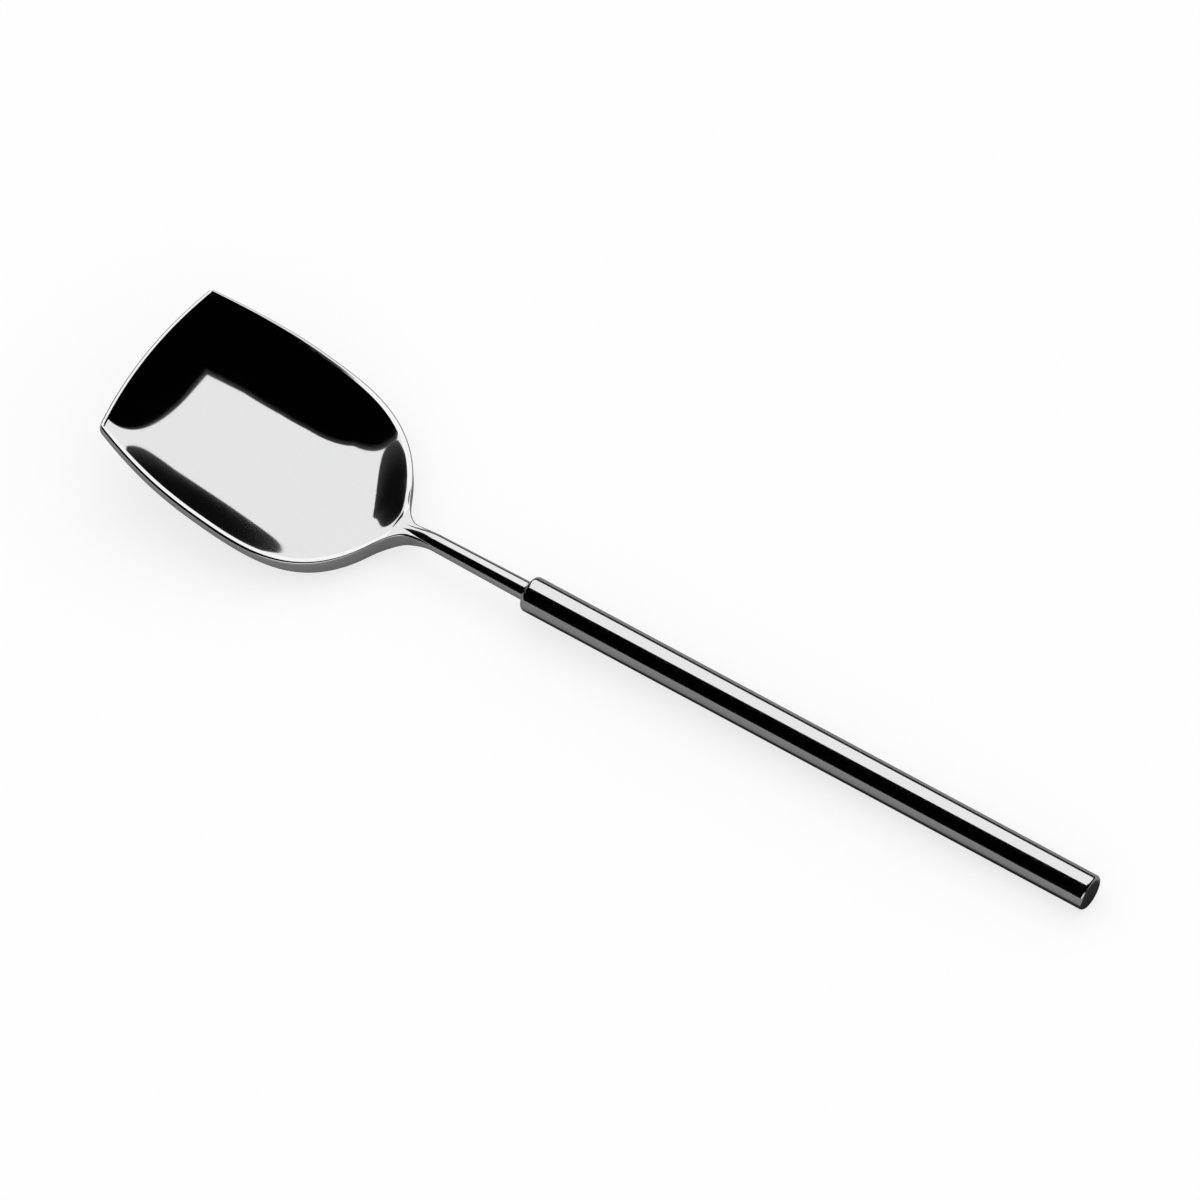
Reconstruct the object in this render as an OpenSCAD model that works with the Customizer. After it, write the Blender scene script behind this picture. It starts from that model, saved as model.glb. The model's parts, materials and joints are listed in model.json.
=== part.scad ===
// Sugar spoon in stainless steel: a pressed square-ended bowl that is forged in one with its slim round
// neck and tang, and a round rod handle that is drilled at its front end. The tang is brazed into the rod.
// It lies as it rests on a table, on the bowl's underside and the handle's end edge.
// Origin: middle of the footprint box, on the table. +X points to the handle's end, +Z up.

/* [Bowl] */
// Bowl length from the start of the neck to its front corners, mm
bowl_len = 35.4; // [30:0.1:40]
// Width of the bowl where it is widest, mm
bowl_w = 28.4; // [24:0.1:32]
// Depth of the hollow below its rim where it is deepest, mm
bowl_depth = 3.4; // [3:0.1:4.5]
// How far the front edge bows out beyond its corners, mm
front_bow = 1.25; // [0.5:0.05:2.5]
// Radius of the two front corners, mm
corner_r = 0.5; // [0.4:0.05:1.2]
// Height of the front edge's middle above the handle's centre line, mm
front_rise = 7.75; // [5:0.05:9]
// How far the rim dips where the bowl leaves the neck, mm
rear_dip = 2.2; // [1.5:0.1:3]

/* [Rim] */
// Height of the ground edge at the sides and front, mm
edge_h = 1.05; // [0.95:0.05:1.8]
// Height of the ground edge beside the neck, mm
edge_root_h = 2.4; // [1.8:0.05:2.6]
// Width of the polished land on top of the rim, mm
land_w = 0.35; // [0.2:0.05:0.5]
// Rounding between the land and the ground edge, mm
edge_r = 0.43; // [0.25:0.01:0.5]
// Rounding of the ground edge's lower corner, mm
edge_low_r = 0.2; // [0.1:0.05:0.25]
// How far the ground edge leans out towards its foot, mm
edge_lean = 0.12; // [0:0.02:0.2]

/* [Neck] */
// Length of neck that shows between bowl and handle, mm
neck_len = 17.58; // [12:0.1:24]
// Neck diameter at the bowl, mm
neck_d = 2.15; // [2:0.05:2.6]
// Neck diameter at the handle, mm
neck_end_d = 2.46; // [2.2:0.02:2.8]
// Length over which the neck spreads into the bowl, mm
root_len = 4.6; // [3:0.1:6]
// Widening of the neck's half width where it meets the rim, mm
root_flare = 0.6; // [0.3:0.05:0.9]

/* [Handle] */
// Diameter of the handle rod, mm
rod_d = 4.5; // [4:0.05:5.5]
// Length of the handle rod, mm
rod_len = 78.66; // [60:0.1:95]
// Rounding of the rod's shoulder at the neck, mm
shoulder_r = 0.6; // [0.3:0.05:0.7]
// Rounding of the rod's end edge, mm
end_r = 0.4; // [0.2:0.05:0.5]

/* [Joint] */
// Diameter of the tang inside the rod, mm
tang_d = 1.9; // [1.5:0.05:1.95]
// Length of the tang inside the rod, mm
tang_len = 12; // [8:0.5:18]
// Thickness of the braze between the tang and its bore, mm
braze_gap = 0.06; // [0.04:0.01:0.12]
// Thickness of the braze under the tang's end, mm
braze_pad = 0.4; // [0.2:0.1:0.8]
// Leg of the braze fillet round the neck, mm
braze_leg = 0.35; // [0.1:0.05:0.4]

/* [Hidden] */
$fn = 96;

// Shares of the bowl's outline, measured along it from the neck to the front corners
wide_at_share = 0.59;
start_share = 0.0195;
rear_power_share = 3.2;
rear_round_share = 0.704;
taper_share = 0.16;
bow_from_share = 0.46;
// Shares of the hollow: where its front wall starts and how that curves, how its sides curve at the middle
// and change towards both ends, and how its floor thins
front_from_share = 0.49;
front_wall_share = 2.2;
fill_share = 1.055;
side_wall_share = 1.11;
wall_gain_share = 0.72;
wall_ends_share = 0.74;
floor_thin_share = 0.05;
// Shares of the rim's rise
dip_at_share = 0.136;
dip_power_share = 1.24;
tip_from_share = 0.72;
tip_share = 0.105;
// Share of the end edge's height that its roundings may take
edge_fill_share = 0.9;
// Share of even spacing across the hollow, the rest being closer towards the rim
even_share = 0.4;
// How far the root's last ring stands proud of the round neck, mm
root_lap = 0.0075;

// Numbers of steps: across the hollow, round the rim's two roundings, along the root, the rear half,
// the front half, and round a front corner
across_steps = 18;
arc_steps = 3;
low_arc_steps = 2;
root_steps = 9;
rear_steps = 17;
front_steps = 10;
corner_steps = 4;

neck_r = neck_d / 2;
neck_end_r = neck_end_d / 2;
rod_r = rod_d / 2;
tang_r = tang_d / 2;
bore_r = tang_r + braze_gap;
bowl_r = bowl_w / 2;
taper = taper_share * bowl_r;
wide_at = wide_at_share * bowl_len;
front_from = front_from_share * bowl_len;
bow_from = bow_from_share * bowl_len;
start_at = start_share * bowl_len;
rim_w = land_w + edge_r;
side_n = arc_steps + low_arc_steps + 2;
ring_n = 2 * across_steps + 2 * side_n;
ring_r = (neck_r + root_lap) / cos(180 / ring_n);
neck_start_r = neck_r - (neck_end_r - neck_r) * root_len / 2 / (neck_len - root_len);

function part(x, a, b) = max(0, min(1, (x - a) / (b - a)));
function ease(x, a, b) = let (t = part(x, a, b)) t * t * (3 - 2 * t);

// Half width of the outline at a distance s in front of the neck, drawn in by an inset
function outline(s, inset) =
    let (from = start_at + inset, w = bowl_r - inset)
    s <= from ? 0 :
    s <= wide_at ? w * pow(1 - pow((wide_at - s) / (wide_at - from), rear_power_share), rear_round_share) :
    w - taper * pow((s - wide_at) / (bowl_len - wide_at), 2);
function end_round(s, r) =
    let (t = part(s, bowl_len - r, bowl_len)) r * (1 - sqrt(1 - t * t));
function half_w(s) =
    norm([neck_r + root_flare * ease(s, -root_len, start_at), outline(s, 0)]) - end_round(s, corner_r);
function hollow_half_w(s) =
    min(norm([neck_r / 2, outline(s, rim_w)]),
        half_w(s) - edge_r - land_w * ease(s, start_at, start_at + rim_w));

// Height of the rim above the handle's centre line
rise_slope = (front_rise * (1 - tip_share) + rear_dip) / (bowl_len + front_bow);
function rim(s) =
    s <= 0 ? 0 :
    rise_slope * s - rear_dip * (1 - exp(-pow(s / (dip_at_share * bowl_len), dip_power_share)))
    + front_rise * tip_share * pow(part(s, tip_from_share * bowl_len, bowl_len), 2);
function edge(s) = edge_root_h - (edge_root_h - edge_h) * ease(s, 0, bow_from);

// Depth of the hollow, and of the underside with no inset, at a share across of the half width w
function sunk(s, w, across, inset) =
    let (
        t = 2 * part(s, start_at + inset, bowl_len - inset) - 1,
        fill = pow(min(1, pow(w / (bowl_r - inset), 2) * (1 - across * across)), fill_share),
        wall = side_wall_share + wall_gain_share * t + wall_ends_share * t * t,
        front = 1 - pow(part(s, front_from, bowl_len - inset), front_wall_share))
    bowl_depth * front * (1 - pow(1 - fill, wall));

// Cross-section of the bowl: hollow from left to right, right edge, underside back, left edge
function across(i) =
    even_share * (2 * i / across_steps - 1) - (1 - even_share) * cos(180 * i / across_steps);
function right_edge(s) =
    let (
        top = rim(s) - end_round(s, edge_r),
        low = rim(s) - edge(s) + end_round(s, edge_low_r),
        fit = min(1, edge_fill_share * (top - low) / (edge_r + edge_low_r)),
        in = half_w(s) - edge_r,
        out = half_w(s) + edge_lean - edge_low_r)
    concat(
        [for (k = [0:arc_steps]) let (a = 90 * k / arc_steps)
            [in + edge_r * sin(a), top - fit * edge_r * (1 - cos(a))]],
        [for (k = [0:low_arc_steps]) let (a = 90 * k / low_arc_steps)
            [out + edge_low_r * cos(a), low + fit * edge_low_r * (1 - sin(a))]]);
function section(s) =
    let (
        right = right_edge(s),
        foot = right[side_n - 1],
        top = right[0][1],
        half = hollow_half_w(s),
        thin = 1 - floor_thin_share)
    concat(
        [for (i = [0:across_steps]) [half * across(i), top - sunk(s, half, across(i), rim_w)]],
        right,
        [for (i = [1:across_steps - 1])
            [-foot[0] * across(i), foot[1] - thin * sunk(s, foot[0], across(i), 0)]],
        [for (k = [side_n - 1:-1:0]) [-right[k][0], right[k][1]]]);

// The neck's round ring, with the same number of points, and the blend from it to the bowl
function round_point(i) =
    let (a = 90 + 360 / ring_n * (across_steps / 2 - i)) [ring_r * cos(a), ring_r * sin(a)];
function forward(s, y) =
    s + front_bow * ease(s, bow_from, bowl_len) * (1 - pow(y / (bowl_r - taper), 2));
function ring(s) =
    let (k = ease(s, -root_len, start_at), bowl = section(s))
    [for (i = [0:ring_n - 1])
        let (p = (1 - k) * round_point(i) + k * bowl[i]) [-forward(s, p[0]), p[0], p[1]]];

// Stations along the bowl, closest together where the outline turns fastest
stations = concat(
    [for (k = [0:root_steps - 1]) -root_len + (root_len + start_at) * k / root_steps],
    [for (k = [0:rear_steps - 1]) start_at + (wide_at - start_at) * pow(k / rear_steps, 2)],
    [for (k = [0:front_steps - 1]) wide_at + (bowl_len - corner_r - wide_at) * k / front_steps],
    [for (k = [0:corner_steps]) bowl_len - corner_r * (1 - sin(90 * k / corner_steps))]);
last = len(stations) - 1;
points = [for (s = stations) each ring(s)];
end_first = last * ring_n;
half_side = (side_n - 1) / 2;
function on_end(i) = end_first + (i + ring_n) % ring_n;
bowl_faces = concat(
    [[for (i = [0:ring_n - 1]) i]],
    [for (k = [0:last - 1]) for (i = [0:ring_n - 1])
        let (j = (i + 1) % ring_n, a = k * ring_n, b = a + ring_n)
        each [[a + i, b + i, b + j], [a + i, b + j, a + j]]],
    [for (i = [-half_side:across_steps + half_side - 1])
        let (j = ring_n - side_n - i) each [
            [on_end(i), on_end(j), on_end(j - 1)], [on_end(i), on_end(j - 1), on_end(i + 1)]]]);

// Rest attitude: the bowl's underside and the rod's end edge touch the table together
end_at = neck_len + rod_len;
function turned_z(p, a) = -p[0] * sin(a) + p[2] * cos(a);
function turned_x(p, a) = p[0] * cos(a) + p[2] * sin(a);
function bowl_low(a) = min([for (p = points) turned_z(p, a)]);
function rod_low(a) = turned_z([end_at - end_r, 0, end_r - rod_r], a) - end_r;
function uneven(a) = bowl_low(a) - rod_low(a);
first_tilt = asin((bowl_depth + edge_h - rod_r - rear_dip / 2) / end_at);
next_tilt = first_tilt / 2;
tilt = next_tilt - uneven(next_tilt) * (first_tilt - next_tilt) / (uneven(first_tilt) - uneven(next_tilt));
x_low = min([for (p = points) turned_x(p, tilt)]);
x_high = turned_x([end_at - end_r, 0, rod_r - end_r], tilt) + end_r;
z_low = min(bowl_low(tilt), rod_low(tilt));

module at_rest() {
    translate([-(x_low + x_high) / 2, 0, -z_low]) rotate([0, tilt, 0]) children();
}

// Lays a shape made round Z along the handle, from a distance behind the bowl
module along_handle(from) {
    translate([from, 0, 0]) rotate([0, 90, 0]) children();
}

// Bowl, neck and tang, one forging
module bowl_and_neck() {
    color([0.78, 0.78, 0.79]) at_rest() {
        polyhedron(points = points, faces = bowl_faces);
        along_handle(root_len / 2) {
            cylinder(h = neck_len - root_len / 2 - braze_gap, r1 = neck_start_r, r2 = neck_end_r);
            cylinder(h = neck_len - root_len / 2 + tang_len, r = tang_r);
        }
    }
}

// Rod handle with rounded shoulder, rounded end edge and a drilled blind bore
module rod_profile() {
    intersection() {
        union() {
            translate([0, shoulder_r]) square([rod_r, rod_len - shoulder_r - end_r]);
            square([rod_r - shoulder_r, rod_len / 2]);
            translate([rod_r - shoulder_r, shoulder_r]) circle(r = shoulder_r);
            translate([0, rod_len / 2]) square([rod_r - end_r, rod_len / 2]);
            translate([rod_r - end_r, rod_len - end_r]) circle(r = end_r);
        }
        square([rod_d, rod_len]);
    }
}
module handle_rod() {
    bore_len = tang_len + braze_pad;
    color([0.74, 0.74, 0.75]) at_rest() along_handle(neck_len) difference() {
        rotate_extrude() rod_profile();
        translate([0, 0, -shoulder_r]) cylinder(h = shoulder_r + bore_len, r = bore_r);
        translate([0, 0, bore_len]) cylinder(h = bore_r * tan(30), r1 = bore_r, r2 = 0);
    }
}

// Braze: the film round the tang, the pad under its end, and the fine fillet round the neck
module tang_braze() {
    color([0.83, 0.81, 0.74]) at_rest() along_handle(neck_len) rotate_extrude() union() {
        translate([tang_r, -braze_gap]) square([braze_gap, tang_len + braze_gap]);
        translate([0, tang_len]) square([bore_r, braze_pad]);
        translate([tang_r, -braze_gap]) square([neck_end_r - tang_r, braze_gap]);
        difference() {
            translate([neck_end_r, -braze_leg]) square([braze_leg, braze_leg]);
            translate([neck_end_r + braze_leg, -braze_leg]) circle(r = braze_leg);
        }
    }
}

bowl_and_neck();
handle_rod();
tang_braze();
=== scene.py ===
import json
import math
import bmesh
import bpy
from mathutils import Matrix, Vector


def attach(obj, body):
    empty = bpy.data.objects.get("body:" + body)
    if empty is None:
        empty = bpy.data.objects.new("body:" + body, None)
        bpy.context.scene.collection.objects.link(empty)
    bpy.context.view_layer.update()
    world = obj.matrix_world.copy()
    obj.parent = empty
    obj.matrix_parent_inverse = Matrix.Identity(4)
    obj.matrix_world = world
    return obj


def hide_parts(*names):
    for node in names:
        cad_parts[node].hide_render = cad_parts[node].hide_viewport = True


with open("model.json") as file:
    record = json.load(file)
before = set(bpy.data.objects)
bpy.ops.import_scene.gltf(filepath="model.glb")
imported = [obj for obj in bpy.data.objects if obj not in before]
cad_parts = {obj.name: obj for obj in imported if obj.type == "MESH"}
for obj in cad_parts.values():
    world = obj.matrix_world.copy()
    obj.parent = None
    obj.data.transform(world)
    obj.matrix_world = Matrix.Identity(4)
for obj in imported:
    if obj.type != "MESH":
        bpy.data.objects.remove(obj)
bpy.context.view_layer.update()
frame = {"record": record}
scene = bpy.context.scene
scene.view_settings.view_transform = "Standard"
MM = 0.001

# The table and the camera. The spoon lies on a white table top under even studio light, and the camera
# looks down on it through a long lens from beyond its near side, as in the photograph.
view_azimuth, view_elevation = math.radians(32.824), math.radians(54.477)
view_distance, picture_px, px_per_mm = 2500.0, 1200.0, 8.465
aim_height, aim_px, sensor_w = 5.0, (615.521, 630.068), 36.0
back = Vector((math.sin(view_azimuth) * math.cos(view_elevation),
               -math.cos(view_azimuth) * math.cos(view_elevation), math.sin(view_elevation)))
right = Vector((math.cos(view_azimuth), math.sin(view_azimuth), 0.0))
upward = back.cross(right)
aim = (Vector((0.0, 0.0, aim_height)) + right * ((picture_px / 2 - aim_px[0]) / px_per_mm)
       - upward * ((picture_px / 2 - aim_px[1]) / px_per_mm))
camera_data = bpy.data.cameras.new("camera")
camera_data.sensor_width = sensor_w
camera_data.lens = sensor_w * view_distance * px_per_mm / picture_px
camera_data.clip_end = 100.0
camera = bpy.data.objects.new("camera", camera_data)
scene.collection.objects.link(camera)
turn = Matrix((right, upward, back)).transposed().to_4x4()
camera.matrix_world = Matrix.Translation((aim + back * view_distance) * MM) @ turn
scene.camera = camera


def new_material(name):
    """A material with no nodes in it yet, its nodes and its links"""
    material = bpy.data.materials.new(name)
    material.use_nodes = True
    material.node_tree.nodes.clear()
    return material, material.node_tree.nodes, material.node_tree.links


def reckoned(nodes, links, operation, *given):
    """What one Math node makes of plain numbers and other nodes' outputs"""
    node = nodes.new("ShaderNodeMath")
    node.operation = operation
    for socket, value in zip(node.inputs, given):
        if isinstance(value, float):
            socket.default_value = value
        else:
            links.new(value, socket)
    return node.outputs[0]


def seen_directly(nodes, links):
    """1 for rays from the camera, off metal or through glass, 0 for the light that falls on things"""
    path = nodes.new("ShaderNodeLightPath")
    total = path.outputs["Is Camera Ray"]
    for ray in ("Is Glossy Ray", "Is Transmission Ray"):
        total = reckoned(nodes, links, "ADD", total, path.outputs[ray])
        total.node.use_clamp = True
    return total


def blend_of_two(nodes, links, share, one, other):
    """One shader passing into another by a share from 0 to 1"""
    mix = nodes.new("ShaderNodeMixShader")
    for socket, output in zip(mix.inputs, (share, one, other)):
        links.new(output, socket)
    return mix.outputs[0]


def square(half, z):
    return [(x * half, y * half, z) for x, y in ((-1, -1), (1, -1), (1, 1), (-1, 1))]


def put_on_stage(name, corners, faces, material):
    """A part of the set round the spoon, made of flat faces"""
    mesh = bpy.data.meshes.new(name)
    mesh.from_pydata(corners, [], faces)
    mesh.materials.append(material)
    thing = bpy.data.objects.new(name, mesh)
    scene.collection.objects.link(thing)
    return thing


table_half, table_glow = 60.0, 0.72
table_white, nodes, links = new_material("table_white")
top = nodes.new("ShaderNodeBsdfDiffuse")
top.inputs["Color"].default_value = (0.96, 0.96, 0.96, 1.0)
glow = nodes.new("ShaderNodeEmission")
glow.inputs["Strength"].default_value = 1.0
share = reckoned(nodes, links, "MULTIPLY", seen_directly(nodes, links), table_glow)
out = nodes.new("ShaderNodeOutputMaterial")
links.new(blend_of_two(nodes, links, share, top.outputs[0], glow.outputs[0]), out.inputs["Surface"])
put_on_stage("table_top", square(table_half, 0.0), [(0, 1, 2, 3)], table_white)

# The light. Even soft light comes from all round and a wide lamp stands on the far side. Polished metal
# also sees a grey card on the table and black cloth all round, with one lit window whose light grazes the
# cloth on its far and neck sides. The cloth is pale where only views from behind mirror it.
world = bpy.data.worlds.new("studio")
scene.world = world
world.use_nodes = True
nodes, links = world.node_tree.nodes, world.node_tree.links
nodes.clear()
soft, white = nodes.new("ShaderNodeBackground"), nodes.new("ShaderNodeBackground")
soft.inputs["Color"].default_value = (1.0, 1.0, 1.0, 1.0)
soft.inputs["Strength"].default_value = 0.9
white.inputs["Color"].default_value = (1.0, 1.0, 1.0, 1.0)
white.inputs["Strength"].default_value = 1.0
out = nodes.new("ShaderNodeOutputWorld")
links.new(blend_of_two(nodes, links, seen_directly(nodes, links), soft.outputs[0], white.outputs[0]),
          out.inputs["Surface"])

lamp_data = bpy.data.lights.new("soft_lamp", "SUN")
lamp_data.energy = 0.45
lamp_data.angle = math.radians(50.0)
lamp = bpy.data.objects.new("soft_lamp", lamp_data)
lamp.rotation_mode = "QUATERNION"
lamp.rotation_quaternion = Vector((-0.15, 0.75, 1.0)).to_track_quat("Z", "Y")
lamp.visible_glossy = False
scene.collection.objects.link(lamp)


def only_metal_sees(thing):
    """Leaves a thing of the set to reflections alone"""
    thing.visible_camera = False
    thing.visible_diffuse = False
    thing.visible_transmission = False
    thing.visible_shadow = False


def faded(nodes, links, value, start, end, low=0.0, high=1.0, smooth=False):
    """Passes from low to high while a value goes from its start to its end"""
    fade = nodes.new("ShaderNodeMapRange")
    if smooth:
        fade.interpolation_type = "SMOOTHSTEP"
    for name, number in (("From Min", start), ("From Max", end), ("To Min", low), ("To Max", high)):
        fade.inputs[name].default_value = number
    links.new(value, fade.inputs["Value"])
    return fade.outputs["Result"]


def between(nodes, links, share, one, other):
    """The colour that lies between two others by a share from 0 to 1"""
    mix = nodes.new("ShaderNodeMix")
    mix.data_type = "RGBA"
    links.new(share, mix.inputs[0])
    for socket, colour in ((mix.inputs[6], one), (mix.inputs[7], other)):
        if isinstance(colour, tuple):
            socket.default_value = (*colour, 1.0)
        else:
            links.new(colour, socket)
    return mix.outputs[2]


# Corners of the window: how far each lies along X and Y for a height of one above the table
window = [(-0.536, -0.043), (-0.209, -0.006), (0.603, 0.483), (0.843, 2.091), (-4.705, 4.054)]
cloth_height, cloth_half = 10.0, 60.0
glow_reach, neck_glow_shortened, edge_blur = 2.0, 4.0, 0.05
glow_levels = ((0.0, 0.0035), (0.6, 0.0065), (0.75, 0.013), (0.85, 0.024), (0.95, 0.042), (1.0, 0.055))
black, pale, pale_from, pale_to = (0.0004, 0.0004, 0.0004), (0.9, 0.9, 0.9), 12.0, 20.0
cloth_black, nodes, links = new_material("cloth_black")
felt = nodes.new("ShaderNodeBsdfDiffuse")
out = nodes.new("ShaderNodeOutputMaterial")
links.new(felt.outputs[0], out.inputs["Surface"])
place = nodes.new("ShaderNodeTexCoord").outputs["Object"]


def inside_window(first, reach=1.0):
    """How far the cloth lies inside the window's edge from one corner to the next, times reach"""
    (ax, ay), (bx, by) = window[first], window[(first + 1) % len(window)]
    inward = Vector((ay - by, bx - ax, 0.0)).normalized() * reach / cloth_height
    along_it = nodes.new("ShaderNodeVectorMath")
    along_it.operation = "DOT_PRODUCT"
    along_it.inputs[1].default_value = inward
    links.new(place, along_it.inputs[0])
    edge_at = inward.dot(Vector((ax, ay, 0.0))) * cloth_height
    return reckoned(nodes, links, "SUBTRACT", along_it.outputs["Value"], edge_at)


corner, near, front, far = (inside_window(i) for i in range(4))
grazed = reckoned(nodes, links, "MINIMUM", far, inside_window(4, neck_glow_shortened))
unlit = reckoned(nodes, links, "MINIMUM", reckoned(nodes, links, "MINIMUM", near, corner), front)
lit = nodes.new("ShaderNodeValToRGB")
while len(lit.color_ramp.elements) < len(glow_levels):
    lit.color_ramp.elements.new(0.5)
for stop, (at, level) in zip(lit.color_ramp.elements, glow_levels):
    stop.position, stop.color = at, (level, level, level, 1.0)
links.new(faded(nodes, links, grazed, -glow_reach, 0.0), lit.inputs[0])
cloth = between(nodes, links, faded(nodes, links, unlit, -edge_blur, 0.0), black, lit.outputs["Color"])
split = nodes.new("ShaderNodeSeparateXYZ")
links.new(place, split.inputs[0])
behind = reckoned(nodes, links, "MULTIPLY", faded(nodes, links, split.outputs["X"], pale_from, pale_to),
                  faded(nodes, links, split.outputs["Y"], -pale_from, -pale_to))
links.new(between(nodes, links, behind, cloth, pale), felt.inputs["Color"])
corners = [(x * cloth_height, y * cloth_height, cloth_height) for x, y in window]
corners += square(cloth_half, cloth_height) + square(cloth_half, 0.0)
faces = [(0, 1, 5)] + [(i, (i + 1) % 5, 5 + i % 4, 4 + i) for i in range(1, 5)]
faces += [(5 + i, 5 + (i + 1) % 4, 9 + (i + 1) % 4, 9 + i) for i in range(4)]
only_metal_sees(put_on_stage("black_cloth", corners, faces, cloth_black))

# The card is dark in a strip under the neck and handle, whose shade falls there
card_half, card_lift = 1.5, 0.00002
card_light, card_dark = (0.24, 0.24, 0.24), (0.03, 0.03, 0.03)
dark_half, dark_half_faded, dark_from, dark_from_faded = 0.0030, 0.0044, -0.0115, -0.0135
card_grey, nodes, links = new_material("card_grey")
card = nodes.new("ShaderNodeBsdfDiffuse")
split = nodes.new("ShaderNodeSeparateXYZ")
links.new(nodes.new("ShaderNodeTexCoord").outputs["Object"], split.inputs[0])
aside = reckoned(nodes, links, "ABSOLUTE", split.outputs["Y"])
shade = reckoned(nodes, links, "MULTIPLY",
                 faded(nodes, links, aside, dark_half_faded, dark_half, smooth=True),
                 faded(nodes, links, split.outputs["X"], dark_from_faded, dark_from, smooth=True))
links.new(between(nodes, links, shade, card_light, card_dark), card.inputs["Color"])
out = nodes.new("ShaderNodeOutputMaterial")
links.new(card.outputs[0], out.inputs["Surface"])
only_metal_sees(put_on_stage("grey_card", square(card_half, card_lift), [(0, 1, 2, 3)], card_grey))

# Bowl, neck and tang: one forging in stainless steel, pressed, ground round its edge and mirror polished.
# The lip's narrow land is ground flat last; its paler steel is a painted highlight, the spoon's brightest
# line.
# Lengths are in mm, from the point where the rim leaves the neck, with the handle along +X.
bowl_len, bowl_half, bowl_depth = 35.4, 14.2, 3.4
front_bow, corner_r, front_rise, rear_dip = 1.25, 0.5, 7.75, 2.2
edge_h, edge_root_h, edge_r, edge_low_r, edge_lean, edge_fill = 1.05, 2.4, 0.32, 0.2, 0.12, 0.9
land_w, land_slope, front_r = 0.31, math.radians(14.0), 0.44
neck_len, neck_r, neck_end_r, root_len, root_flare = 17.58, 1.075, 1.23, 4.6, 0.6
rod_len, shoulder_r, end_r = 78.66, 0.6, 0.4
tang_len, tang_r, braze_gap = 12.0, 0.95, 0.06
wide_at, start_at = 0.59 * bowl_len, 0.0195 * bowl_len
bow_from, taper, rim_w = 0.46 * bowl_len, 0.16 * bowl_half, land_w + edge_r
plan_turn, plan_fullness = 3.2, 0.704
upturn_from, upturn_share = 0.72 * bowl_len, 0.105
dip_reach, dip_turn = 0.136 * bowl_len, 1.24
front_wall_from, front_wall_turn, floor_turn = 0.49 * bowl_len, 2.2, 1.055
wall_turn, wall_turn_change, wall_turn_ends = 1.11, 0.72, 0.74
root_from, root_to, waist_r = -1.6, 2.03, 1.04
hollow_from, hollow_to, hollow_tip, hollow_spread, hollow_clear = 0.62, 4.26, 0.3, 3.0, 0.01
under_share = 0.943
lip_from, lip_to = start_at + rim_w, bowl_len - rim_w
land_drop = (edge_r * (1 - math.cos(land_slope))
             + (land_w - edge_r * math.sin(land_slope)) * math.tan(land_slope))
swell = ((0.0113, -0.4028, -0.0189, 0.0761), (0.1781, -0.0956, -0.0902, 0.0090),
         (0.3896, -0.2502, 0.0393, 0.0593), (0.4416, 0.1889, -0.0467, -0.0143),
         (0.2058, 0.0626, -0.0522, 0.0197), (0.0341, -0.0281, -0.0118, -0.0364))

grip = frame["record"]["mounts"][0]
grip_at = neck_len + (shoulder_r + rod_len - end_r) / 2
lengthwise = Vector(grip["axis"]).normalized()
sideways = Vector((0.0, 1.0, 0.0))
upright = lengthwise.cross(sideways)


def lay_down(p):
    """A point of the spoon's own drawing, in mm, where it lies on the table, in metres"""
    return (Vector(grip["pos_m"]) + lengthwise * ((p[0] - grip_at) * MM)
            + sideways * (p[1] * MM) + upright * (p[2] * MM))


def part(x, a, b):
    """How far x has come from a to b, from 0 to 1"""
    return max(0.0, min(1.0, (x - a) / (b - a)))


def ease(x, a, b):
    """The same with a soft start and end"""
    t = part(x, a, b)
    return t * t * (3 - 2 * t)


def growth(line, s):
    """How fast a line of the bowl grows at the distance s"""
    step = 0.001
    return (line(s + step) - line(s)) / step


def outline(s, inset):
    """Half the bowl's width at the distance s from the neck, measured inset from its edge"""
    start, half = start_at + inset, bowl_half - inset
    if s <= start:
        return 0.0
    if s <= wide_at:
        return half * (1 - ((wide_at - s) / (wide_at - start)) ** plan_turn) ** plan_fullness
    return half - taper * ((s - wide_at) / (bowl_len - wide_at)) ** 2


def end_round(s, r):
    """How much a rounding of radius r takes away next to the bowl's front"""
    t = part(s, bowl_len - r, bowl_len)
    return r * (1 - math.sqrt(max(0.0, 1 - t * t)))


def rim_half(s):
    return math.hypot(neck_r + root_flare * ease(s, -root_len, start_at), outline(s, 0))


def half_width(s):
    """Half the width over the rim: the bowl's plan, and a fillet that runs out into the neck"""
    if s >= root_to:
        return rim_half(s) - end_round(s, corner_r)
    t = part(s, root_from, root_to)
    rise = growth(rim_half, root_to) * (root_to - root_from)
    turn_in = ease(s, root_from, root_to)
    return waist_r * (1 - turn_in) + rim_half(root_to) * turn_in + rise * t * t * (t - 1)


def plain_hollow(s):
    return math.hypot(neck_r / 2, outline(s, rim_w))


def hollow_half(s):
    """Half the hollow's width, which comes to a rounded point at the root"""
    if s >= hollow_to:
        return plain_hollow(s)
    t = part(s, hollow_from, hollow_to)
    rise, even = growth(plain_hollow, hollow_to), ease(s, hollow_from, hollow_to)
    wide = (hollow_tip * (1 - even) + plain_hollow(hollow_to) * even
            + (hollow_to - hollow_from) * (hollow_spread * t * (1 - t) ** 2 + rise * t * t * (t - 1)))
    return min(wide, half_width(s) - edge_r - hollow_clear)


def rim_height(s):
    """The rim's height: it rises to the front, dips behind the neck and turns up a little at the end"""
    if s <= 0:
        return 0.0
    slope = (front_rise * (1 - upturn_share) + rear_dip) / (bowl_len + front_bow)
    return (slope * s - rear_dip * (1 - math.exp(-(s / dip_reach) ** dip_turn))
            + front_rise * upturn_share * part(s, upturn_from, bowl_len) ** 2)


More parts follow.
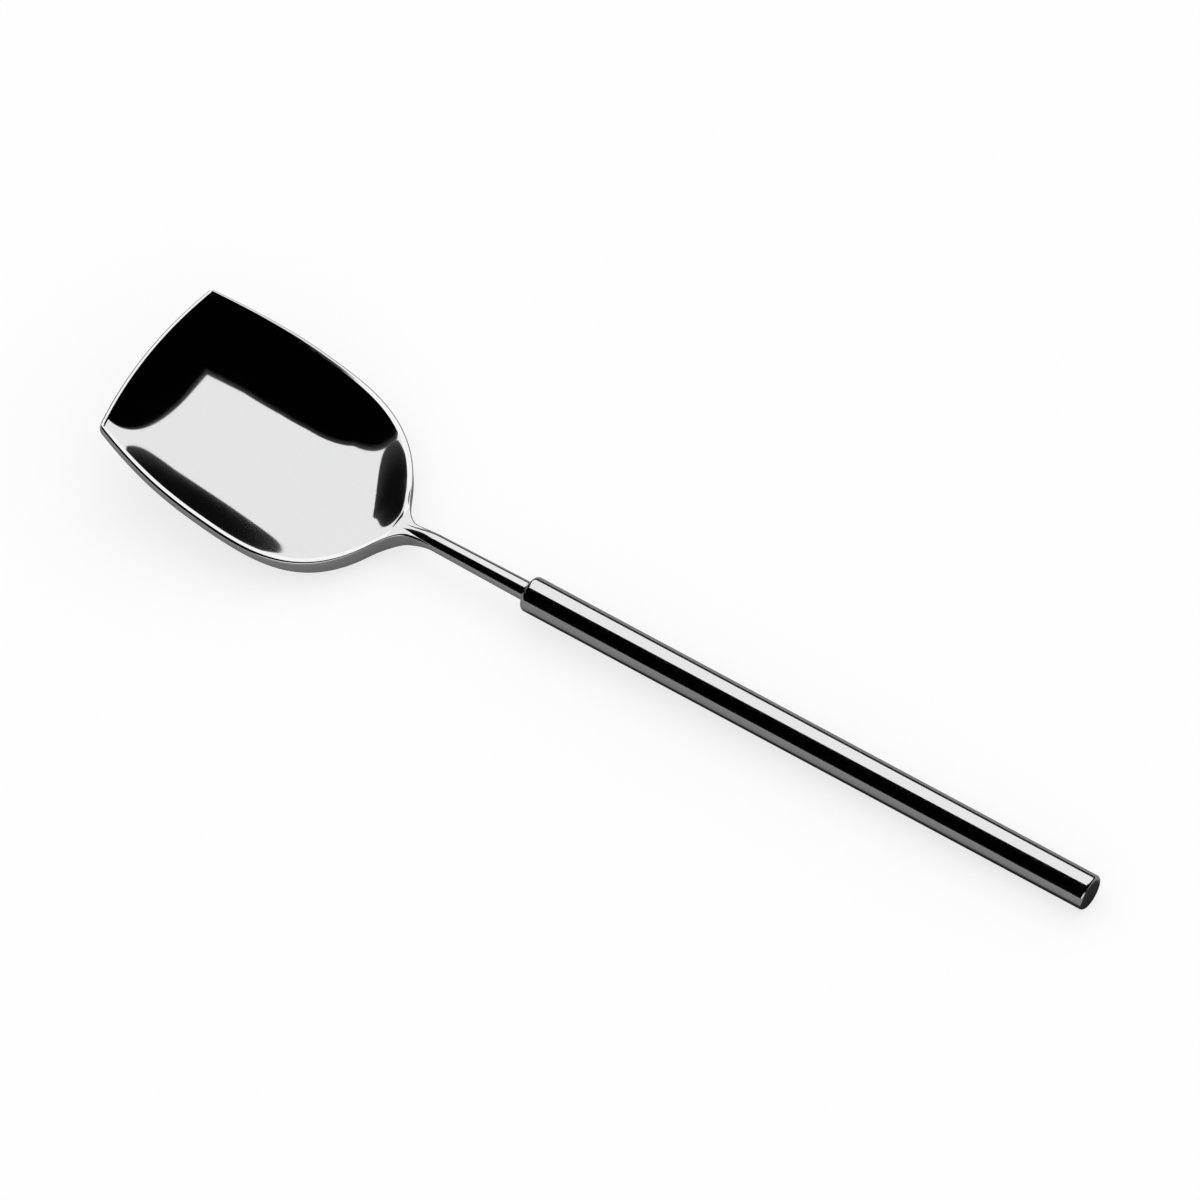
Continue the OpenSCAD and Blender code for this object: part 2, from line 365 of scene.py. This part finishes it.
def sunk(s, half, u, inset):
    """How far the hollow lies below its rim, at the share u of its half width across"""
    t = 2 * part(s, start_at + inset, bowl_len - inset) - 1
    fill = min(1.0, (half / (bowl_half - inset)) ** 2 * (1 - u * u)) ** floor_turn
    wall = wall_turn + wall_turn_change * t + wall_turn_ends * t * t
    front = 1 - part(s, front_wall_from, bowl_len - inset) ** front_wall_turn
    return bowl_depth * front * (1 - max(0.0, 1 - fill) ** wall)


def swollen(s, u):
    """How far the polished hollow stands off its plain form: the sum of a few gentle waves each way"""
    t = 2 * part(s, start_at + rim_w, bowl_len - rim_w) - 1
    waves = sum(c * math.cos(i * math.acos(t)) * math.cos(2 * j * math.acos(max(-1.0, min(1.0, u))))
                for i, row in enumerate(swell) for j, c in enumerate(row))
    return (1 - t * t) * (1 - u * u) * waves


across, rim_steps, foot_steps, even_share = 48, 10, 7, 0.4
edge_n = rim_steps + foot_steps + 2
ring_n = 2 * across + 2 * edge_n
spread = [even_share * (2 * i / across - 1) - (1 - even_share) * math.cos(math.pi * i / across)
          for i in range(across + 1)]


def edge_profile(s):
    """The edge in section: a rounding from the land, the ground side, and a small rounding at its foot"""
    top = rim_height(s) - end_round(s, front_r)
    low = (rim_height(s) - (edge_root_h - (edge_root_h - edge_h) * ease(s, 0, bow_from))
           + end_round(s, edge_low_r))
    fit = min(1.0, edge_fill * (top - low) / (edge_r + edge_low_r))
    inner, outer = half_width(s) - edge_r, half_width(s) + edge_lean - edge_low_r
    lean = land_slope * ease(s, start_at, lip_from)
    upper = [(inner + edge_r * math.sin(a), top - fit * edge_r * (1 - math.cos(a)))
             for a in ((math.pi / 2 + lean) * k / rim_steps - lean for k in range(rim_steps + 1))]
    lower = [(outer + edge_low_r * math.cos(a), low + fit * edge_low_r * (1 - math.sin(a)))
             for a in (math.pi / 2 * k / foot_steps for k in range(foot_steps + 1))]
    return upper + lower


def bowl_ring(s):
    """One ring round the forging: the hollow, one edge, the underside and the other edge"""
    edge = edge_profile(s)
    foot, half = edge[-1], hollow_half(s)
    top = (rim_height(s) - end_round(s, front_r)
           - land_drop * ease(s, start_at, lip_from) * (1 - part(s, lip_to, bowl_len - front_r)))
    ring = [(half * u, top - sunk(s, half, u, rim_w) - swollen(s, u)) for u in spread]
    ring += edge
    ring += [(-foot[0] * u, foot[1] - under_share * sunk(s, foot[0], u, 0)) for u in spread[1:-1]]
    ring += [(-y, z) for y, z in reversed(edge)]
    k, placed = ease(s, -root_len, start_at), []
    for i, (y, z) in enumerate(ring):
        a = math.pi / 2 + 2 * math.pi / ring_n * (across / 2 - i)
        y = (1 - k) * neck_r * math.cos(a) + k * y
        z = (1 - k) * neck_r * math.sin(a) + k * z
        ahead = s + front_bow * ease(s, bow_from, bowl_len) * (1 - (y / (bowl_half - taper)) ** 2)
        placed.append(lay_down((-ahead, y, z)))
    return placed


def round_ring(x, r, count, first=0.0):
    return [lay_down((x, r * math.cos(a), r * math.sin(a)))
            for a in (first - 2 * math.pi * i / count for i in range(count))]


def skin(name, rings, cap):
    """A closed skin over rings of points, with one face over its first ring and cap's faces over its last"""
    n, last = len(rings[0]), len(rings) - 1
    mesh = bpy.data.meshes.new(name)
    faces = [(k * n + i, k * n + (i + 1) % n, (k + 1) * n + (i + 1) % n, (k + 1) * n + i)
             for k in range(last) for i in range(n)]
    faces.append(tuple(range(n)))
    faces += [tuple(last * n + i % n for i in face) for face in cap]
    mesh.from_pydata([p for ring in rings for p in ring], [], faces)
    bm = bmesh.new()
    bm.from_mesh(mesh)
    bmesh.ops.recalc_face_normals(bm, faces=bm.faces)
    for face in bm.faces:
        face.smooth = True
    bm.to_mesh(mesh)
    bm.free()
    piece = bpy.data.objects.new(name, mesh)
    scene.collection.objects.link(piece)
    return piece


def crease(piece, least, wanted=lambda a, b: True):
    """Sets a crisp crease where two faces meet at more than a least angle, in degrees"""
    bm = bmesh.new()
    bm.from_mesh(piece.data)
    for edge in bm.edges:
        if len(edge.link_faces) == 2 and wanted(*(v.index for v in edge.verts)):
            edge.smooth = edge.calc_face_angle() < math.radians(least)
    bm.to_mesh(piece.data)
    bm.free()


root_n, rear_n, side_n, lip_n, corner_n, neck_n, tang_n = 28, 64, 40, 4, 14, 12, 2
stations = [-root_len + (root_len + start_at) * k / root_n for k in range(root_n)]
stations += [start_at + (wide_at - start_at) * (k / rear_n) ** 2 for k in range(rear_n)]
stations += [wide_at + (lip_to - wide_at) * k / side_n for k in range(side_n + 1)]
stations += [lip_to + (bowl_len - corner_r - lip_to) * k / lip_n for k in range(1, lip_n)]
stations += [bowl_len - corner_r * (1 - math.sin(math.pi / 2 * k / corner_n)) for k in range(corner_n + 1)]
stations = sorted(stations + [lip_from])
first_turn = math.pi / 2 + math.pi / ring_n * across
forging = [round_ring(neck_len + tang_len, tang_r, ring_n, first_turn),
           round_ring(neck_len - braze_gap, tang_r, ring_n, first_turn)]
for k in range(neck_n):
    x = neck_len - braze_gap + (root_len - neck_len + braze_gap) * k / neck_n
    forging.append(round_ring(x, neck_r + (neck_end_r - neck_r) * (x - root_len) / (neck_len - root_len),
                              ring_n, first_turn))
neck_rings = len(forging)
forging += [bowl_ring(s) for s in stations]
reach = edge_n // 2
pairs = [(i, ring_n - edge_n - i) for i in range(-reach, across + reach + 1)]
front_cap = [(a, b, d, c) for (a, b), (c, d) in zip(pairs, pairs[1:])]
bowl_and_neck = skin("forged_bowl_and_neck", forging, [tuple(i + ring_n for i in f) for f in front_cap])


def hollow_line(a, b):
    """True on the lines round the hollow, at the foot of the ground edge, and at the neck's end"""
    ka, ia, kb, ib = a // ring_n, a % ring_n, b // ring_n, b % ring_n
    if ka == kb:
        return ka <= tang_n + 1 or (ka == neck_rings + stations.index(lip_to) and max(ia, ib) <= across)
    return ia == ib and ia in (0, across, across + edge_n, ring_n - edge_n)


crease(bowl_and_neck, 1.5, hollow_line)

# Polishing marks: fine lines left by the polishing wheel, with light scratches and a dull film from
# handling laid over them. Every metal piece uses this effect, each with its own run and strength.
marks = bpy.data.node_groups.new("polishing_marks", "ShaderNodeTree")
for name, kind, value in (("Line Run", "NodeSocketVector", (1.0, 1.0, 1.0)),
                          ("Line Fineness", "NodeSocketFloat", 9000.0),
                          ("Film Size", "NodeSocketFloat", 90.0)):
    marks.interface.new_socket(name, in_out="INPUT", socket_type=kind).default_value = value
for name in ("Lines", "Scratches", "Film", "Height"):
    marks.interface.new_socket(name, in_out="OUTPUT", socket_type="NodeSocketFloat")


def soft_spots(nodes, links, at, scale, detail=2.0):
    """Soft random spots from 0 to 1, as many to the metre as the scale says"""
    spots = nodes.new("ShaderNodeTexNoise")
    spots.inputs["Detail"].default_value = detail
    links.new(at, spots.inputs["Vector"])
    if isinstance(scale, float):
        spots.inputs["Scale"].default_value = scale
    else:
        links.new(scale, spots.inputs["Scale"])
    return spots


scratch_bend, scratch_size, scratch_w, scratch_depth = 0.004, 240.0, 0.006, 0.4
bend_size, break_size, break_from, break_to = 160.0, 420.0, 0.52, 0.62
nodes, links = marks.nodes, marks.links
given, made = nodes.new("NodeGroupInput"), nodes.new("NodeGroupOutput")
place = nodes.new("ShaderNodeTexCoord").outputs["Object"]
run = nodes.new("ShaderNodeVectorMath")
run.operation = "MULTIPLY"
links.new(place, run.inputs[0])
links.new(given.outputs["Line Run"], run.inputs[1])
lines = soft_spots(nodes, links, run.outputs[0], given.outputs["Line Fineness"], 3.0).outputs[0]
links.new(lines, made.inputs["Lines"])
sway = nodes.new("ShaderNodeVectorMath")
sway.operation = "MULTIPLY_ADD"
sway.inputs[1].default_value = (scratch_bend, scratch_bend, scratch_bend)
links.new(soft_spots(nodes, links, place, bend_size).outputs["Color"], sway.inputs[0])
links.new(place, sway.inputs[2])
cells = nodes.new("ShaderNodeTexVoronoi")
cells.feature = "DISTANCE_TO_EDGE"
cells.inputs["Scale"].default_value = scratch_size
links.new(sway.outputs[0], cells.inputs["Vector"])
thin = faded(nodes, links, cells.outputs["Distance"], 0.0, scratch_w, 1.0, 0.0)
broken = faded(nodes, links, soft_spots(nodes, links, place, break_size).outputs[0], break_from, break_to)
scratch = reckoned(nodes, links, "MULTIPLY", thin, broken)
links.new(scratch, made.inputs["Scratches"])
film = soft_spots(nodes, links, place, given.outputs["Film Size"], 4.0)
links.new(film.outputs[0], made.inputs["Film"])
links.new(reckoned(nodes, links, "MULTIPLY_ADD", scratch, -scratch_depth, lines), made.inputs["Height"])

# Wear where the spoon rests and is picked up: the mirror dulls in broken patches near the table.
# Every metal piece uses this effect too, and it goes up to a height of its own on each.
wear = bpy.data.node_groups.new("table_wear", "ShaderNodeTree")
for name, value in (("Worn Up To", 0.0009), ("Patch Size", 700.0)):
    wear.interface.new_socket(name, in_out="INPUT", socket_type="NodeSocketFloat").default_value = value
wear.interface.new_socket("Wear", in_out="OUTPUT", socket_type="NodeSocketFloat")
nodes, links = wear.nodes, wear.links
given, made = nodes.new("NodeGroupInput"), nodes.new("NodeGroupOutput")
place = nodes.new("ShaderNodeTexCoord").outputs["Object"]
split = nodes.new("ShaderNodeSeparateXYZ")
links.new(place, split.inputs[0])
low = faded(nodes, links, split.outputs["Z"], 0.0, 1.0, 1.0, 0.0, smooth=True)
links.new(given.outputs["Worn Up To"], low.node.inputs["From Max"])
patches = soft_spots(nodes, links, place, given.outputs["Patch Size"], 4.0)
links.new(reckoned(nodes, links, "MULTIPLY", low, faded(nodes, links, patches.outputs[0], 0.4, 0.6)),
          made.inputs["Wear"])


def metal(name, dark, light, smooth, dull, run, fineness, film_size, bump, worn, handled=0.0):
    """Solid metal: its two tones, its roughness where it is cleanest and dullest, and its marks"""
    scratch_dulls, wear_dulls, film_rough = 0.08, 0.22, 0.3
    material, nodes, links = new_material(name)
    effect = nodes.new("ShaderNodeGroup")
    effect.node_tree = marks
    effect.inputs["Line Run"].default_value = run
    effect.inputs["Line Fineness"].default_value = fineness
    effect.inputs["Film Size"].default_value = film_size
    rubbed = nodes.new("ShaderNodeGroup")
    rubbed.node_tree = wear
    rubbed.inputs["Worn Up To"].default_value = worn
    gloss = faded(nodes, links, effect.outputs["Film"], 0.3, 0.7, smooth, dull)
    marked = reckoned(nodes, links, "MULTIPLY_ADD", effect.outputs["Scratches"], scratch_dulls, gloss)
    dulled = reckoned(nodes, links, "MULTIPLY_ADD", rubbed.outputs["Wear"], wear_dulls, marked)
    relief = nodes.new("ShaderNodeBump")
    relief.inputs["Strength"].default_value = 1.0
    relief.inputs["Distance"].default_value = bump
    links.new(effect.outputs["Height"], relief.inputs["Height"])
    surface = nodes.new("ShaderNodeBsdfPrincipled")
    surface.inputs["Metallic"].default_value = 1.0
    surface.inputs["Coat Weight"].default_value = handled
    surface.inputs["Coat Roughness"].default_value = film_rough
    links.new(between(nodes, links, effect.outputs["Lines"], dark, light), surface.inputs["Base Color"])
    links.new(dulled, surface.inputs["Roughness"])
    links.new(relief.outputs[0], surface.inputs["Normal"])
    out = nodes.new("ShaderNodeOutputMaterial")
    links.new(surface.outputs[0], out.inputs["Surface"])
    return material


round_polish = {"dark": (0.765, 0.765, 0.768), "light": (0.81, 0.81, 0.813), "smooth": 0.02, "dull": 0.06,
                "run": (0.012, 1.0, 1.0), "fineness": 8000.0, "film_size": 60.0, "bump": 2e-8,
                "worn": 0.0012, "handled": 1.0}
bowl_steel = metal("bowl_steel", dark=(0.765, 0.765, 0.768), light=(0.805, 0.805, 0.808), smooth=0.02,
                   dull=0.06, run=(0.03, 1.0, 1.0), fineness=9000.0, film_size=90.0, bump=1.5e-8,
                   worn=0.0009)
# The lip steel is painted paler than the bowl's, as a painted highlight; it is also a little rougher.
lip_steel_painted_highlight = metal("lip_steel_painted_highlight", dark=(0.88, 0.88, 0.88), light=(0.94, 0.94, 0.94), smooth=0.05, dull=0.10,
                  run=(0.3, 0.3, 1.0), fineness=8000.0, film_size=120.0, bump=3e-8, worn=0.0009)
neck_steel = metal("neck_steel", **round_polish)
for steel in (bowl_steel, lip_steel_painted_highlight, neck_steel):
    bowl_and_neck.data.materials.append(steel)
in_bowl, on_lip, on_neck = range(3)
neck_to, lip_highlight_from = 0.45, 0.9
for face in bowl_and_neck.data.polygons:
    first_row = min(v // ring_n for v in face.vertices) - neck_rings
    first, last = min(v % ring_n for v in face.vertices), max(v % ring_n for v in face.vertices)
    if first_row < 0 or stations[first_row] < neck_to:
        face.material_index = on_neck
        continue
    on_rim = ((first >= across and last <= across + 1 + rim_steps) or first >= ring_n - 1 - rim_steps
              or (first == 0 and last == ring_n - 1))
    on_end = last <= across and stations[first_row] >= lip_to
    # The rim's land, its rounding and the front end get the lip steel with its painted highlight.
    ground = stations[first_row] >= lip_highlight_from and (on_rim or on_end)
    face.material_index = on_lip if ground else in_bowl
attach(bowl_and_neck, "root")
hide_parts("bowl_and_neck")

# Handle: a plain round bar of stainless steel, faced and rounded at both ends on a lathe, drilled at its
# front end for the tang, and polished along its length.
rod_r, braze_pad, drill_slope, shoulder_n, end_n = 2.25, 0.4, math.radians(30), 12, 10
bore_r, bore_len = tang_r + braze_gap, tang_len + braze_pad
bar = [(0.0, bore_len + bore_r * math.tan(drill_slope)), (bore_r, bore_len), (bore_r, 0.0)]
bar += [(rod_r - shoulder_r * (1 - math.sin(a)), shoulder_r * (1 - math.cos(a)))
        for a in (math.pi / 2 * k / shoulder_n for k in range(shoulder_n + 1))]
bar += [(rod_r - end_r * (1 - math.cos(a)), rod_len - end_r * (1 - math.sin(a)))
        for a in (math.pi / 2 * k / end_n for k in range(end_n + 1))]
bar += [(0.0, rod_len)]


def turned(name, profile, count):
    """A piece turned on a lathe about the handle's centre line, from (radius, distance behind the neck)"""
    bm = bmesh.new()
    rings = []
    for r, x in profile:
        if r == 0:
            rings.append([bm.verts.new(lay_down((neck_len + x, 0, 0)))])
        else:
            rings.append([bm.verts.new(p) for p in round_ring(neck_len + x, r, count)])
    for a, b in zip(rings, rings[1:] + rings[:1]):
        for i in range(count):
            corners = dict.fromkeys((a[i % len(a)], a[(i + 1) % len(a)], b[(i + 1) % len(b)], b[i % len(b)]))
            if len(corners) > 2:
                bm.faces.new(corners)
    bmesh.ops.recalc_face_normals(bm, faces=bm.faces)
    for face in bm.faces:
        face.smooth = True
    mesh = bpy.data.meshes.new(name)
    bm.to_mesh(mesh)
    bm.free()
    piece = bpy.data.objects.new(name, mesh)
    scene.collection.objects.link(piece)
    crease(piece, 20.0)
    return piece


handle_rod = turned("polished_handle_rod", bar, 160)
handle_steel = metal("handle_steel", **round_polish)
handle_rod.data.materials.append(handle_steel)
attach(handle_rod, "root")
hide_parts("handle_rod")

# Braze: silver solder that has run into the gap round the tang. Its pad fills the bore's end, and a fine
# fillet of it shows round the neck at the handle's shoulder, rubbed clean but less bright than the steel.
braze_leg, fillet_n = 0.35, 10
solder = [(0.0, tang_len), (tang_r, tang_len), (tang_r, -braze_gap), (neck_end_r, -braze_gap)]
solder += [(neck_end_r + braze_leg * (1 - math.cos(a)), -braze_leg * (1 - math.sin(a)))
           for a in (math.pi / 2 * k / fillet_n for k in range(fillet_n + 1))]
solder += [(bore_r, 0.0), (bore_r, bore_len), (0.0, bore_len)]
tang_braze = turned("braze_fillet", solder, 120)
braze = metal("braze", dark=(0.70, 0.69, 0.66), light=(0.80, 0.79, 0.76), smooth=0.10, dull=0.22,
              run=(1.0, 1.0, 1.0), fineness=5000.0, film_size=900.0, bump=4e-7, worn=0.0)
tang_braze.data.materials.append(braze)
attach(tang_braze, "root")
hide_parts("tang_braze")
